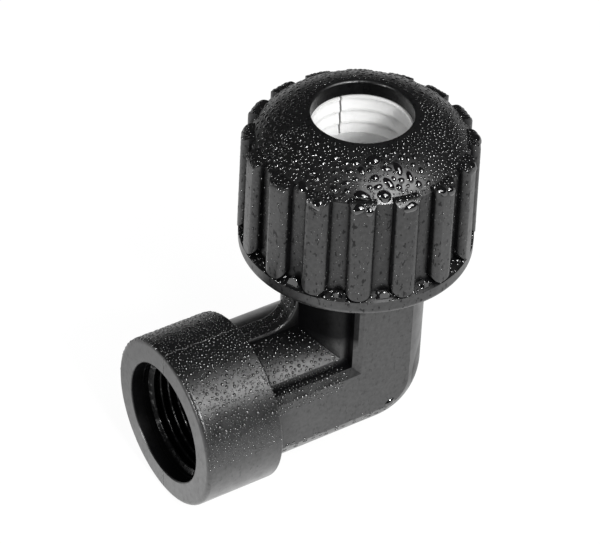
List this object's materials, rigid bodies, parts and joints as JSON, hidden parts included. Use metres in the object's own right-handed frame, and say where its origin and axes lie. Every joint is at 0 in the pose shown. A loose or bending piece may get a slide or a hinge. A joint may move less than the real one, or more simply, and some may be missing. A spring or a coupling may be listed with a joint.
{
  "type": "female pipe elbow",
  "caption": "Right-angle plastic pipe fitting: a compression socket with a ribbed nut and split grip ring at one end, a female pipe thread at the other.",
  "frame": {"origin": "on the female thread's axis at the plane where the thread starts, 2.8 mm inside the mouth", "axes": "+Z along the pipe's axis, out of the compression nut; -X along the thread's axis, out of the mouth; +Y across the flat cheeks"},
  "size_m": [0.0717, 0.0496, 0.0825],
  "materials": {
    "black_body": "moulded black polypropylene, satin",
    "black_nut": "moulded black polypropylene, satin",
    "white_ring": "smooth white acetal",
    "white_bush": "smooth white acetal",
    "seal_rubber": "black nitrile rubber"
  },
  "bodies": {
    "elbow": {"elbow_body": "black_body", "seal_ring": "seal_rubber", "thrust_bush": "white_bush"},
    "grip_ring": {"split_grip_ring": "white_ring"},
    "nut": {"compression_nut": "black_nut"}
  },
  "joints": [
    {"name": "ring_lift", "type": "slide", "parent": "elbow", "child": "grip_ring", "axis": [0, 0, 1], "range_m": [0, 0.012]},
    {"name": "nut_turn", "type": "hinge", "parent": "grip_ring", "child": "nut", "pos_m": [0.0441, 0, 0.045], "axis": [0, 0, 1], "range_deg": [0, 1080]}
  ],
  "couplings": [
    {"joint": "ring_lift", "follows": "nut_turn", "m_per_rad": 0.0006366}
  ]
}
